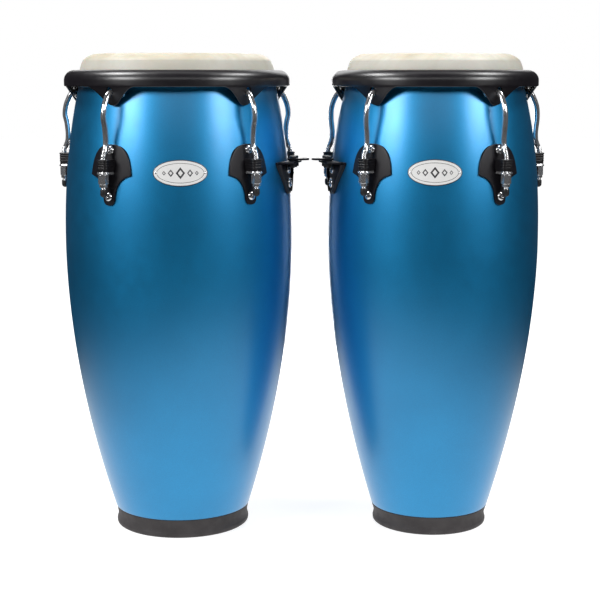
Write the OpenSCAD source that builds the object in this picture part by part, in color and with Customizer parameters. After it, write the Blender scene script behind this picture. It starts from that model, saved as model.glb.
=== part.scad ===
// Pair of conga drums: an 11 inch drum (left) and a 10 inch drum (right).
// Millimetres, +Z up. The origin is on the floor, at the centre of the pair's
// footprint; the players' side, with the badges, faces -Y.
// Each drum is an open-bottomed stave shell with a rubber foot ring, a rawhide
// head on a steel flesh hoop, a rolled rim with five tabs, and five J-shaped
// tension hooks that run down through side-plate lugs to a nut each.

/* [Pair] */
// Distance between the two drums' axes
spacing = 385.4; // [384:0.2:700]
// Turn of the large drum about its own axis, degrees
large_turn = 5.6; // [0:0.2:8]
// Turn of the small drum about its own axis, degrees
small_turn = -4.4; // [-8:0.2:0]

/* [Height] */
// Height of the playing surface above the floor
total_h = 719; // [719:1:719]

/* [Large shell] */
// Radius of the large shell at its belly
large_belly = 171.3; // [169:0.1:174]
// Loss of radius from the belly down to the foot, large drum
large_foot_drop = 67.5; // [64:0.5:70]
// Loss of radius from the belly up to the rim, large drum
large_top_drop = 29.7; // [28:0.1:31]

/* [Small shell] */
// Radius of the small shell at its belly
small_belly = 159.0; // [157:0.1:161]
// Loss of radius from the belly down to the foot, small drum
small_foot_drop = 68.5; // [65:0.5:71]
// Loss of radius from the belly up to the rim, small drum
small_top_drop = 32.9; // [31:0.1:34]

/* [Walls] */
// Thickness of the stave shell
wall = 11; // [9:0.5:12]
// Thickness of the rawhide
skin = 1.8; // [1.4:0.1:2.0]
// Thickness of the rim's rolled steel
rim_t = 3; // [2.5:0.1:3.2]
// Thickness of the side plates and stand brackets
plate_t = 3; // [2:0.5:3]

/* [Rim] */
// Outer radius of the large drum's rim
large_rim_r = 168.4; // [168:0.1:169]
// Outer radius of the small drum's rim
small_rim_r = 154.4; // [154:0.1:155]
// Height of the rim's crest above the floor
crest_z = 695.2; // [694.5:0.1:696]
// Height of the rim's lower edge above the floor
skirt_z = 671.5; // [671:0.1:672]

/* [Tuning hardware] */
// Radius of the tension hook's rod
rod_r = 3.97; // [3.9:0.01:3.97]
// Radius of the nut's hole, a running fit on the rod's thread
nut_bore = 4.03; // [4.02:0.01:4.05]
// Width across the nut's flats
nut_af = 12.7; // [12:0.1:13]
// Distance of the rod's straight part from the shell
rod_gap = 16.9; // [16.7:0.1:17.4]
// Slack left between the nut's collar and the hook's cap
cap_slack = 3.5; // [3.4:0.1:4]

/* [Badge] */
// Length of the oval badge
badge_l = 77; // [70:1:80]
// Height of the oval badge
badge_h = 37; // [30:1:40]

/* [Hidden] */

L = 0; // the large drum
S = 1; // the small drum

// the pair's footprint is centred on the origin
mid_x = 186.45;
mid_y = -9.20;
drum_x = [-mid_x, -mid_x + spacing];
turn = [large_turn, small_turn];
belly = [large_belly, small_belly];
belly_z = [440, 436];
foot_drop = [large_foot_drop, small_foot_drop];
foot_pow = [1.9, 1.8];
top_drop = [large_top_drop, small_top_drop];
top_pow = [2.15, 2.4];
rim_r = [large_rim_r, small_rim_r];

blue = [0.08, 0.36, 0.56];
black = [0.08, 0.08, 0.09];
chrome = [0.80, 0.81, 0.83];
hide = [0.86, 0.83, 0.74];
rubber = [0.10, 0.09, 0.09];

// outside radius of the shell at height z
function shell_r(d, z) = z < belly_z[d]
  ? belly[d] - foot_drop[d] * pow((belly_z[d] - z) / (belly_z[d] - 30), foot_pow[d])
  : belly[d] - top_drop[d] * pow((z - belly_z[d]) / (695 - belly_z[d]), top_pow[d]);
// upward lean of the shell's outward normal at height z, degrees
function lean(d, z) = atan((shell_r(d, z - 1) - shell_r(d, z + 1)) / 2);

// heights of the profile's stations
st_low = [60, 90, 120, 150, 180, 210, 240, 270, 300, 330, 360, 390, 420, 450, 475];
st_lug = [490, 505, 520, 535, 550, 565, 580, 595, 610];
st_top = [625, 640, 655, 670, 682];
stations = concat([28], st_low, st_lug, st_top);
// the shell's neck under the head: [loss of radius above z = 682, z]
neck = [[[0, 682], [-1.0, 690], [-2.5, 698], [-4.3, 704], [-5.6, 707]],
        [[0, 682], [-0.5, 690], [-1.4, 698], [-3.2, 704], [-4.5, 707]]];
edge_r = [for (d = [L, S]) shell_r(d, 682) + neck[d][4][0]];
// its rounded bearing edge, from the outside over the crest: [loss of radius above the neck, z]
bearing = [[-1.1, 708.6], [-2.6, 710.1], [-5.3, 712.0], [-9.0, 714.1], [-12.6, 715.8], [-15, 716.6], [-16.4, 716.4], [-17, 715.4]];

rod_c = [for (d = [L, S]) shell_r(d, 553) + rod_gap];
hoop_z = 677.5;
wire_r = 3;
wrap_r = wire_r + skin - 0.2;
hoop_c = [for (d = [L, S]) shell_r(d, hoop_z) + skin / 2 + wrap_r];
lug_u = [-36, 36, 108, 180, 252];
bracket_az = [72, -72];
screw_z = [582.5, 517];
bracket_screw_z = [549.5, 529];
shelf_z = 558.8;
shelf_out = 20;
tongue_z = 563.3;
tongue_out = 36;
tongue_w = 28;

module place(d) translate([drum_x[d], mid_y, 0]) rotate([0, 0, turn[d]]) children();
module around(d) for (a = lug_u) rotate([0, 0, a]) children();
// children's +Z points along the shell's outward normal at azimuth az, height z
module on_shell(d, az, z, off = 0)
  rotate([0, 0, az]) translate([0, -shell_r(d, z), z]) rotate([90 - lean(d, z), 0, 0])
    translate([0, 0, off]) children();

function mirrored(h) = concat(h, [for (i = [len(h) - 1:-1:0]) if (h[i][0] != 0) [-h[i][0], h[i][1]]]);
// outline (u across, v up), pushed through the wall at the drum's front
module prism(pts, r0, r1) translate([0, -r0, 0]) rotate([90, 0, 0]) linear_extrude(r1 - r0) polygon(pts);
// a sheet that follows the shell between two offsets and two heights
module sheet(d, a, b, z0, z1, half = 20) {
  zs = concat([z0], [for (z = stations) if (z > z0 + 2 && z < z1 - 2) z], [z1]);
  n = len(zs);
  rotate([0, 0, -90 - half]) rotate_extrude(angle = 2 * half, $fn = 96)
    polygon(concat([for (z = zs) [shell_r(d, z) + a, z]],
                   [for (i = [n - 1:-1:0]) [shell_r(d, zs[i]) + b, zs[i]]]));
}
// a solid of revolution out to the shell's surface plus an offset
module core(d, a, z0, z1) {
  zs = concat([z0], [for (z = stations) if (z > z0 + 2 && z < z1 - 2) z], [z1]);
  rotate_extrude($fn = 96)
    polygon(concat([[0, z0]], [for (z = zs) [shell_r(d, z) + a, z]], [[0, z1]]));
}

// ---------------------------------------------------------------- shell
module shell(d) {
  rt = edge_r[d];
  out = concat([[shell_r(d, 28) - 6.8, 4], [shell_r(d, 28) - 6.8, 28]],
               [for (z = stations) [shell_r(d, z), z]],
               [for (i = [1:4]) [shell_r(d, 682) + neck[d][i][0], neck[d][i][1]]],
               [for (p = bearing) [rt + p[0], p[1]]]);
  inn = concat([[rt - 17, 690], [shell_r(d, 677) - wall, 677]],
               [for (i = [len(stations) - 2:-1:1]) [shell_r(d, stations[i]) - wall, stations[i]]],
               [[shell_r(d, 28) - wall, 28], [shell_r(d, 28) - wall, 4]]);
  color(blue) place(d) difference() {
    rotate_extrude($fn = 128) polygon(concat(out, inn));
    for (a = lug_u, z = screw_z) on_shell(d, a, z, -wall - 6) cylinder(r = 3.2, h = wall + 12, $fn = 24);
    for (z = bracket_screw_z) on_shell(d, bracket_az[d], z, -wall - 6) cylinder(r = 4.2, h = wall + 12, $fn = 24);
    for (s = [-1, 1]) on_shell(d, s * badge_pin_az(d), badge_z, -5) cylinder(r = 1.15, h = 10, $fn = 24);
  }
}

// rubber ring that the drum stands on; the shell's end sits in its groove
foot_off = [[-1.5, -3.3, -1.6], [-1.1, -4.3, -2.8]];
module foot(d) {
  f = shell_r(d, 30);
  o = foot_off[d];
  g = shell_r(d, 28);
  color(rubber) place(d) rotate_extrude($fn = 128) polygon([
    [g - 6.7, 27.6], [f + o[0] - 0.6, 27.6], [f + o[0], 26.8], [f + (o[0] + o[1]) / 2, 21.5], [f + o[1], 16.5],
    [f + o[1], 12.5], [f + o[2] - 0.5, 8], [f + o[2], 5.5], [f + o[2], 2.6], [f + o[2] - 0.8, 0.8], [f + o[2] - 2.2, 0],
    [g - 15.5, 0], [g - 16.5, 1.2], [g - 16.5, 13], [g - 15.5, 15], [g - wall - 0.1, 15], [g - wall - 0.1, 3.9], [g - 6.7, 3.9]]);
}

// steel ring inside the head's rolled edge
module flesh_hoop(d) {
  color(chrome) place(d) rotate_extrude($fn = 128)
    translate([hoop_c[d], hoop_z]) circle(r = wire_r, $fn = 32);
}

// rawhide head: flat playing surface, collar down the shell, edge lapped round the hoop
module head(d) {
  rt = edge_r[d];
  dn = [for (i = [4:-1:0]) [shell_r(d, 682) + neck[d][i][0] + skin, neck[d][i][1]]];
  up = [for (p = neck[d]) [shell_r(d, 682) + p[0] + 0.1, p[1]]];
  color(hide) place(d) difference() {
    union() {
      rotate_extrude($fn = 128) polygon(concat(
        [[0, total_h], [rt - 19, total_h], [rt - 15.5, total_h - 0.4], [rt - 12, total_h - 1.4], [rt - 8.2, total_h - 3.3],
         [rt - 4.2, total_h - 5.5], [rt - 1.2, total_h - 7.8], [rt + 0.9, total_h - 10]],
        dn, [[shell_r(d, 676) + skin, 676], [shell_r(d, 676) + 0.1, 676]], up,
        [for (i = [0:5]) [rt + bearing[i][0] + 0.05, bearing[i][1] + 0.15]],
        [[rt - 18.5, 717.2], [0, 717.2]]));
      rotate_extrude($fn = 128) translate([hoop_c[d], hoop_z]) circle(r = wrap_r, $fn = 32);
    }
    rotate_extrude($fn = 128) translate([hoop_c[d], hoop_z]) circle(r = wire_r + 0.02, $fn = 32);
  }
}

// ---------------------------------------------------------------- rim
function arc(cx, cz, a, b, t0, t1, n) = [for (i = [0:n]) let (t = t0 + (t1 - t0) * i / n) [cx + a * cos(t), cz + b * sin(t)]];
module rim(d) {
  R = rim_r[d];
  ri = hoop_c[d] - 3.2;
  cr = ri + 4;
  kz = 680;
  tab = [[38, 676], [38, skirt_z - 0.1], [31, 668.6], [24, 662.4], [13, 651.4], [9.5, 648], [5.2, 645.6], [0, 644.8]];
  slope = 0.385;
  color(black) place(d) difference() {
    union() {
      rotate_extrude($fn = 128) polygon(concat(
        [[ri, 682.4]], arc(cr, 688.6, 4, crest_z - 688.6, 180, 90, 4),
        arc(cr, kz, R - cr, crest_z - kz, 82.5, 0, 10), [[R, skirt_z]],
        [[R - rim_t, skirt_z]], arc(cr, kz, R - cr - rim_t, crest_z - kz - rim_t, 0, 82.5, 10),
        [[cr, crest_z - rim_t], [ri + rim_t, 690.2], [ri + rim_t, 682.4]]));
      for (a = lug_u) rotate([0, 0, a]) intersection() {
        rotate([0, 0, -90 - 16]) rotate_extrude(angle = 32, $fn = 128) polygon([
          [R - 0.15, 674.5], [R - 0.15, skirt_z], [R - 0.15 - slope * (skirt_z - 643), 643],
          [R - rim_t + 0.1 - slope * (skirt_z - 643), 643], [R - rim_t + 0.1, skirt_z], [R - rim_t + 0.1, 674.5]]);
        prism(mirrored(tab), R - 24, R + 4);
      }
    }
    for (a = lug_u) rotate([0, 0, a]) {
      for (z = [663.4, 666]) translate([0, -(R - 24), z]) rotate([90, 0, 0]) cylinder(r = 5, h = 28, $fn = 32);
      translate([-5, -(R + 4), 663.4]) cube([10, 28, 2.6]);
    }
  }
}

// ---------------------------------------------------------------- tension hooks
// centre line of the hook's bent part, from the end behind the tab down to the
// straight shank: [distance inside the rim's outer radius or outside the shank, z]
bend_top = [[-13.4, 663.2], [-8.6, 663.4], [-4.2, 663.2], [-0.4, 661.3], [3.0, 657.4], [6.0, 651.8], [9.0, 645], [11.2, 636.5], [11.8, 627]];
bend_low = [[-5.2, 617], [-6.5, 607], [-7.0, 598], [-6.2, 589], [-3.6, 581.8], [-1.3, 577.4], [-0.2, 574.2], [0, 571.5], [0, 568.5]];
function bend(d) = concat([for (p = bend_top) [rim_r[d] + p[0], p[1]]], [for (p = bend_low) [rod_c[d] + p[0], p[1]]]);
// one smooth curve through the points, two steps to a span
function spline(p) = concat([for (i = [0:len(p) - 2], k = [0, 1])
    let (t = k / 2, a = p[max(i - 1, 0)], b = p[i], c = p[i + 1], e = p[min(i + 2, len(p) - 1)])
    0.5 * (2 * b + (c - a) * t + (2 * a - 5 * b + 4 * c - e) * t * t + (3 * b - 3 * c + e - a) * t * t * t)],
  [p[len(p) - 1]]);
module swept(path, r, n) {
  m = len(path);
  function dir(i) = let (v = path[min(i + 1, m - 1)] - path[max(i - 1, 0)]) v / norm(v);
  pts = [for (i = [0:m - 1], j = [0:n - 1])
    let (t = dir(i), a = 360 * j / n, u = r * cos(a), w = r * sin(a)) [u, -(path[i][0] + w * t[1]), path[i][1] - w * t[0]]];
  side = [for (i = [0:m - 2], j = [0:n - 1]) let (a = i * n + j, b = i * n + (j + 1) % n) [a, b, b + n, a + n]];
  polyhedron(pts, concat(side, [[for (j = [n - 1:-1:0]) j]], [[for (j = [0:n - 1]) (m - 1) * n + j]]));
}
shank_z = 519.5;
module tension_hooks(d) {
  path = spline(bend(d));
  color(chrome) place(d) around(d) {
    swept(path, 4.1, 14);
    translate([0, -rod_c[d], shank_z]) cylinder(r = rod_r, h = 570 - shank_z, $fn = 32);
  }
}

collar_z = 531.5;
module hook_caps(d) {
  top = collar_z - cap_slack;
  color(rubber) place(d) around(d) translate([0, -rod_c[d], 0]) difference() {
    rotate_extrude($fn = 32) polygon(concat([[0, 517]], arc(0, 522, 5, 5, -75, 0, 5), [[5, top - 0.6], [4.5, top], [0, top]]));
    translate([0, 0, shank_z - 0.1]) cylinder(r = rod_r + 0.03, h = 20, $fn = 32);
  }
}

// hexagon nut with a round collar, one turn of which moves its hook by one pitch
module nut(d, k) {
  color(chrome) place(d) rotate([0, 0, lug_u[k - 1]]) translate([0, -rod_c[d], 0]) difference() {
    union() {
      intersection() {
        translate([0, 0, 535.5]) rotate([0, 0, 30]) cylinder(r = nut_af / 2 / cos(30), h = 13.9, $fn = 6);
        rotate_extrude($fn = 48) polygon([[0, 535], [nut_af / 2, 535], [nut_af / 2 + 1.3, 536.6], [nut_af / 2 + 1.3, 548.3], [nut_af / 2, 549.9], [0, 549.9]]);
      }
      translate([0, 0, collar_z]) cylinder(r = 5.8, h = 5, $fn = 48);
    }
    translate([0, 0, collar_z - 1]) cylinder(r = nut_bore, h = 22, $fn = 32);
  }
}

// plan of a block round the shank: flat sides, round outer corners; x across, -y out from the drum
function rounded(half, out, inw, r) = concat([[-half, inw]], arc(r - half, r - out, r, r, 180, 270, 8),
  arc(half - r, r - out, r, r, 270, 360, 8), [[half, inw]]);
// chrome washer, a thick plate with a stepped top, that the nut bears on
module saddle_washers(d) {
  color(chrome) place(d) around(d) translate([0, -rod_c[d], 0]) difference() {
    union() {
      translate([0, 0, 549.5]) linear_extrude(2.2) polygon(rounded(9.5, 7.3, 12, 7));
      translate([0, 0, 551.5]) linear_extrude(1.4) polygon(rounded(8.7, 6.5, 12, 6.2));
    }
    translate([0, 0, 548]) cylinder(r = 4.5, h = 8, $fn = 32);
  }
}

// ribbed block that holds the hook's shank off the side plate
module lug_receivers(d) {
  color(black) place(d) around(d) difference() {
    translate([0, -rod_c[d], 0]) union() {
      translate([0, 0, 553]) linear_extrude(17) polygon(rounded(8.2, 5.6, 17.8, 4.5));
      for (z = [557, 560.6, 564.2]) translate([0, 0, z]) linear_extrude(2) polygon(rounded(8.7, 6.1, 9, 5));
      translate([0, 0, 567.8]) linear_extrude(2.2) polygon(rounded(9, 6.4, 10, 5.3));
    }
    core(d, plate_t + 0.1, 545, 580);
    translate([0, -rod_c[d], 548]) cylinder(r = 4.5, h = 30, $fn = 32);
  }
}

// side plates, curved to the shell, one behind each lug
plate_half = [[0, 591], [6, 590.7], [10, 589.8], [18, 587], [25, 580.5], [30, 571], [33, 559], [34.5, 548], [31, 546.5],
              [24, 544], [17.5, 538.5], [13, 531], [10.5, 523], [9.5, 514], [8.5, 509.5], [5.5, 506], [0, 505]];
module side_plates(d) {
  color(black) place(d) around(d) difference() {
    intersection() {
      sheet(d, 0.05, plate_t + 0.05, 500, 595, 14);
      prism(mirrored(plate_half), belly[d] - 40, belly[d] + 20);
    }
    for (z = screw_z) on_shell(d, 0, z, -5) cylinder(r = 3.2, h = 20, $fn = 24);
  }
}

// round-headed screws through plate and shell, with a cross recess
module screw(head_r, head_h, shank_r, shank_l) {
  difference() {
    union() {
      rotate_extrude($fn = 48) polygon(concat([[0, 0]], arc(0, 0.8, head_r, head_h - 0.8, 0, 80, 6), [[0, head_h]], []));
      rotate_extrude($fn = 48) polygon([[0, 0], [head_r, 0], [head_r, 0.8], [0, 0.8]]);
      translate([0, 0, -shank_l]) cylinder(r = shank_r, h = shank_l + 0.5, $fn = 24);
    }
    for (a = [0, 90]) rotate([0, 0, a]) translate([-head_r * 0.5, -0.6, head_h - 1.5]) cube([head_r, 1.2, 3]);
  }
}
module plate_screws(d) {
  color(chrome) place(d) around(d) for (z = screw_z)
    on_shell(d, 0, z, plate_t + 0.25) screw(6, 3.6, 3, plate_t + wall + 8.2);
}
module inner_washers(d) {
  color(chrome) place(d) {
    for (a = lug_u, z = screw_z) on_shell(d, a, z, -wall - 1.9) difference() {
      cylinder(r = 7, h = 1.4, $fn = 32);
      translate([0, 0, -1]) cylinder(r = 3.2, h = 4, $fn = 24);
    }
    for (z = bracket_screw_z) on_shell(d, bracket_az[d], z, -wall - 1.9) difference() {
      cylinder(r = 9, h = 1.4, $fn = 32);
      translate([0, 0, -1]) cylinder(r = 4.2, h = 4, $fn = 24);
    }
  }
}
module inner_nuts(d) {
  color(chrome) place(d) {
    for (a = lug_u, z = screw_z) on_shell(d, a, z, -wall - 7) difference() {
      cylinder(r = 10 / 2 / cos(30), h = 5, $fn = 6);
      translate([0, 0, -1]) cylinder(r = 3.02, h = 8, $fn = 24);
    }
    for (z = bracket_screw_z) on_shell(d, bracket_az[d], z, -wall - 8) difference() {
      cylinder(r = 13 / 2 / cos(30), h = 6, $fn = 6);
      translate([0, 0, -1]) cylinder(r = 4.02, h = 8, $fn = 24);
    }
  }
}

// ---------------------------------------------------------------- badge
badge_z = 552;
function badge_pin_az(d) = asin((badge_l / 2 - 4) / shell_r(d, badge_z));
module badge(d) {
  oval = [for (i = [0:47]) [badge_l / 2 * cos(i * 7.5), badge_z + badge_h / 2 * sin(i * 7.5)]];
  color(chrome) place(d) difference() {
    intersection() {
      sheet(d, 0.08, 1.2, 528, 576, 18);
      prism(oval, belly[d] - 40, belly[d] + 20);
    }
    for (s = [-1, 1]) on_shell(d, s * badge_pin_az(d), badge_z, -5) cylinder(r = 1.15, h = 10, $fn = 24);
  }
}
module badge_pins(d) {
  color(chrome) place(d) for (s = [-1, 1]) on_shell(d, s * badge_pin_az(d), badge_z, 1.25) union() {
    rotate_extrude($fn = 24) polygon(concat([[0, 0], [1.9, 0]], arc(0, 0.2, 1.9, 0.7, 0, 75, 4), [[0, 0.9]]));
    translate([0, 0, -5.5]) cylinder(r = 1.1, h = 5.8, $fn = 24);
  }
}

// ---------------------------------------------------------------- stand bracket
// V-shaped plate on the side that faces the other drum, with a shelf on top
module stand_bracket(d) {
  out = [[41.5, 561.8], [41.5, 557.5], [37.4, 549.5], [14, 518], [10.3, 514.8], [5.5, 513.2], [0, 512.8]];
  inn = [[36, 563], [36, 556.5], [32.8, 550], [10.3, 520.4], [6, 518.5], [0, 518.1]];
  s = shell_r(d, 558);
  color(black) place(d) rotate([0, 0, bracket_az[d]]) difference() {
    union() {
      intersection() {
        sheet(d, 0.05, plate_t + 0.05, 505, 561.8, 18);
        prism(mirrored(out), belly[d] - 40, belly[d] + 20);
      }
      intersection() {
        sheet(d, plate_t - 0.6, plate_t + 5.5, 505, 561.8, 18);
        difference() {
          prism(mirrored(out), belly[d] - 41, belly[d] + 21);
          prism(mirrored(inn), belly[d] - 42, belly[d] + 22);
        }
      }
      difference() {
        translate([0, 0, shelf_z]) linear_extrude(3) polygon([
          [-41.5, -(s - 14)], [41.5, -(s - 14)], [39.5, -(s + 1)], [32, -(s + 9)], [26, -(s + shelf_out - 3)], [22, -(s + shelf_out)],
          [-22, -(s + shelf_out)], [-26, -(s + shelf_out - 3)], [-32, -(s + 9)], [-39.5, -(s + 1)]]);
        core(d, 1.5, 550, 568);
      }
    }
    for (z = bracket_screw_z) on_shell(d, 0, z, -5) cylinder(r = 4.2, h = 20, $fn = 24);
    for (u = [-8, 8]) translate([u, -(s + 13), shelf_z - 1]) cylinder(r = 3.2, h = 6, $fn = 24);
  }
}
module bracket_screws(d) {
  color(chrome) place(d) for (z = bracket_screw_z)
    on_shell(d, bracket_az[d], z, plate_t + 0.3) screw(7, 4, 4, plate_t + wall + 9);
}
// tongue that a stand's clip takes hold of, with one hole near its round end
module stand_tongue(d) {
  s = shell_r(d, 558);
  w = tongue_w / 2;
  c = s + tongue_out - w;
  color(black) place(d) rotate([0, 0, bracket_az[d]]) difference() {
    union() {
      translate([-w, -c, tongue_z]) cube([2 * w, c - s - 6, 3]);
      translate([0, -c, tongue_z]) cylinder(r = w, h = 3, $fn = 64);
    }
    for (u = [-8, 8]) translate([u, -(s + 13), tongue_z - 1]) cylinder(r = 3.2, h = 6, $fn = 24);
    translate([0, -(s + tongue_out - 9.5), tongue_z - 1]) cylinder(r = 4.25, h = 6, $fn = 32);
  }
}
module tongue_spacers(d) {
  s = shell_r(d, 558);
  color(rubber) place(d) rotate([0, 0, bracket_az[d]]) for (u = [-8, 8])
    translate([u, -(s + 13), shelf_z + 3.02]) difference() {
      cylinder(r = 6, h = tongue_z - shelf_z - 3.04, $fn = 32);
      translate([0, 0, -1]) cylinder(r = 3.2, h = 6, $fn = 24);
    }
}
module tongue_bolts(d) {
  s = shell_r(d, 558);
  color(black) place(d) rotate([0, 0, bracket_az[d]]) for (u = [-8, 8]) translate([u, -(s + 13), 0]) {
    difference() {
      union() {
        translate([0, 0, tongue_z + 3.02]) cylinder(r = 5, h = 3.2, $fn = 32);
        translate([0, 0, shelf_z - 7]) cylinder(r = 3, h = tongue_z + 3.5 - shelf_z + 7, $fn = 24);
      }
      translate([0, 0, tongue_z + 4.6]) cylinder(r = 2.3, h = 3, $fn = 6);
    }
    difference() {
      translate([0, 0, shelf_z - 5.1]) cylinder(r = 10 / 2 / cos(30), h = 5, $fn = 6);
      translate([0, 0, shelf_z - 6]) cylinder(r = 3.02, h = 8, $fn = 24);
    }
  }
}

shell(L);  // large_shell
foot(L);  // large_foot
flesh_hoop(L);  // large_flesh_hoop
head(L);  // large_head
rim(L);  // large_rim
tension_hooks(L);  // large_tension_hooks
hook_caps(L);  // large_hook_caps
nut(L, 1);  // large_nut_1
nut(L, 2);  // large_nut_2
nut(L, 3);  // large_nut_3
nut(L, 4);  // large_nut_4
nut(L, 5);  // large_nut_5
saddle_washers(L);  // large_saddle_washers
lug_receivers(L);  // large_lug_receivers
side_plates(L);  // large_side_plates
plate_screws(L);  // large_plate_screws
inner_washers(L);  // large_inner_washers
inner_nuts(L);  // large_inner_nuts
badge(L);  // large_badge
badge_pins(L);  // large_badge_pins
stand_bracket(L);  // large_stand_bracket
bracket_screws(L);  // large_bracket_screws
stand_tongue(L);  // large_stand_tongue
tongue_spacers(L);  // large_tongue_spacers
tongue_bolts(L);  // large_tongue_bolts
shell(S);  // small_shell
foot(S);  // small_foot
flesh_hoop(S);  // small_flesh_hoop
head(S);  // small_head
rim(S);  // small_rim
tension_hooks(S);  // small_tension_hooks
hook_caps(S);  // small_hook_caps
nut(S, 1);  // small_nut_1
nut(S, 2);  // small_nut_2
nut(S, 3);  // small_nut_3
nut(S, 4);  // small_nut_4
nut(S, 5);  // small_nut_5
saddle_washers(S);  // small_saddle_washers
lug_receivers(S);  // small_lug_receivers
side_plates(S);  // small_side_plates
plate_screws(S);  // small_plate_screws
inner_washers(S);  // small_inner_washers
inner_nuts(S);  // small_inner_nuts
badge(S);  // small_badge
badge_pins(S);  // small_badge_pins
stand_bracket(S);  // small_stand_bracket
bracket_screws(S);  // small_bracket_screws
stand_tongue(S);  // small_stand_tongue
tongue_spacers(S);  // small_tongue_spacers
tongue_bolts(S);  // small_tongue_bolts
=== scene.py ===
import bpy, bmesh, math
import numpy as np
from mathutils import Matrix, Vector


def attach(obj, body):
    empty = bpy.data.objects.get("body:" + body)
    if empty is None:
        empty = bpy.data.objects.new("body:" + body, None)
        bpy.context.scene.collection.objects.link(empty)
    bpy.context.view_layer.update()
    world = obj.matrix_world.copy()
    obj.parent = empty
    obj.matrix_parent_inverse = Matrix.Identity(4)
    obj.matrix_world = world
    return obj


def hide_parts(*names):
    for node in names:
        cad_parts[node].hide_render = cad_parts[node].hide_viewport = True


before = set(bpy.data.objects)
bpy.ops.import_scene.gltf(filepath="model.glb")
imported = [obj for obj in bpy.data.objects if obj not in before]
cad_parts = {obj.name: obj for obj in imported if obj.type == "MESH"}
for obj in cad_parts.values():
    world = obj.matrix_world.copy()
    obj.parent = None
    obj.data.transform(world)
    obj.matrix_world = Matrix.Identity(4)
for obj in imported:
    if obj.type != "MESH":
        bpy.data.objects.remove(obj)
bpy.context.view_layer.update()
scene = bpy.context.scene

# ------------------------------------------------------------------ camera
cam_data = bpy.data.cameras.new("camera")
cam = bpy.data.objects.new("camera", cam_data)
scene.collection.objects.link(cam)
scene.camera = cam
cam_data.sensor_width = 36.0
cam_data.lens = 85.98
cam_data.clip_start, cam_data.clip_end = 0.05, 60.0
cam.location = (-0.00285, -2.18320, 0.6862)
cam.rotation_euler = (math.radians(90 - 8.88), 0, 0)
scene.view_settings.view_transform = "Standard"
scene.view_settings.look = "None"

# ------------------------------------------------------------------ the drums' measures, in mm as in the design
NAMES = ("large", "small")
DX, DY = (-186.45, 198.95), -9.20
TURN = (5.6, -4.4)
BELLY, BELLY_Z = (171.3, 159.0), (440.0, 436.0)
FOOT_DROP, FOOT_POW = (67.5, 68.5), (1.9, 1.8)
TOP_DROP, TOP_POW = (29.7, 32.9), (2.15, 2.4)
RIM_R = (168.4, 154.4)
WALL, SKIN, RIM_T, PLATE_T = 11.0, 1.8, 3.0, 3.0
LUGS = (-36, 36, 108, 180, 252)
SCREW_Z = (582.5, 517)
BRACKET_AZ, BRACKET_Z = (72, -72), (549.5, 529)
HOOP_Z, WIRE_R = 677.5, 3.0
WRAP_R = WIRE_R + SKIN - 0.2
CREST_Z, SKIRT_Z, TOP_Z = 695.2, 671.5, 719.0
SHELF_Z, SHELF_OUT, TONGUE_Z, TONGUE_OUT = 558.8, 20.0, 563.3, 36.0
BADGE_L, BADGE_H, BADGE_Z = 77.0, 37.0, 552.0


def shell_r(d, z):
    z = np.asarray(z, float)
    lo = BELLY[d] - FOOT_DROP[d] * (np.clip(BELLY_Z[d] - z, 0, None) / (BELLY_Z[d] - 30)) ** FOOT_POW[d]
    hi = BELLY[d] - TOP_DROP[d] * (np.clip(z - BELLY_Z[d], 0, None) / (695 - BELLY_Z[d])) ** TOP_POW[d]
    return np.where(z < BELLY_Z[d], lo, hi)


def lean(d, z):
    return math.atan((float(shell_r(d, z - 1)) - float(shell_r(d, z + 1))) / 2)


# the neck under the head (loss of radius above z = 682, z) and the rounded bearing edge (loss above the neck, z)
NECK = (((0, 682), (-1.0, 690), (-2.5, 698), (-4.3, 704), (-5.6, 707)), ((0, 682), (-0.5, 690), (-1.4, 698), (-3.2, 704), (-4.5, 707)))
BEARING = ((-1.1, 708.6), (-2.6, 710.1), (-5.3, 712.0), (-9.0, 714.1), (-12.6, 715.8), (-15, 716.6), (-16.4, 716.4), (-17, 715.4))
NECK_R = [float(shell_r(d, 682)) for d in (0, 1)]
EDGE_R = [NECK_R[d] + NECK[d][4][0] for d in (0, 1)]
ROD_C = [float(shell_r(d, 553)) + 16.9 for d in (0, 1)]
HOOP_C = [float(shell_r(d, HOOP_Z)) + SKIN / 2 + WRAP_R for d in (0, 1)]

# ------------------------------------------------------------------ mesh helpers: a part is (vertices in mm, faces, material index)


def turned(d, az, v):
    """Local front-facing coordinates (x right, -y out) to the drum's place, at azimuth az from its badge."""
    a = math.radians(TURN[d] + az)
    c, s = math.cos(a), math.sin(a)
    v = np.asarray(v, float)
    return np.stack([DX[d] + v[:, 0] * c - v[:, 1] * s, DY + v[:, 0] * s + v[:, 1] * c, v[:, 2]], 1)


def on_shell(d, az, z, off, v):
    """Local +z along the shell's outward normal at azimuth az and height z."""
    t = math.pi / 2 - lean(d, z)
    v = np.asarray(v, float) + np.array([0, 0, off])
    y, w = v[:, 1] * math.cos(t) - v[:, 2] * math.sin(t), v[:, 1] * math.sin(t) + v[:, 2] * math.cos(t)
    return turned(d, az, np.stack([v[:, 0], y - float(shell_r(d, z)), w + z], 1))


def loft(loops, closed=True, caps=False, mat=0):
    """Quads between successive loops of equal length; closed joins the last loop to the first."""
    n = len(loops[0])
    v = np.concatenate([np.asarray(l, float) for l in loops])
    f = []
    m = len(loops)
    for i in range(m if closed else m - 1):
        a, b = i * n, ((i + 1) % m) * n
        f += [(a + j, a + (j + 1) % n, b + (j + 1) % n, b + j) for j in range(n)]
    if caps and not closed:
        f += [tuple(range(n))[::-1], tuple((m - 1) * n + j for j in range(n))]
    return v, f, [mat] * len(f)


def lathe(profile, n=192, closed=True, mats=None):
    """Turns (r, z) points about the z axis."""
    t = np.arange(n) * 2 * math.pi / n
    loops = [np.stack([r * np.cos(t), r * np.sin(t), np.full(n, z)], 1) for r, z in profile]
    v, f, m = loft(loops, closed)
    if mats is not None:
        m = [mats[i // n] for i in range(len(f))]
    return v, f, m


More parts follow.
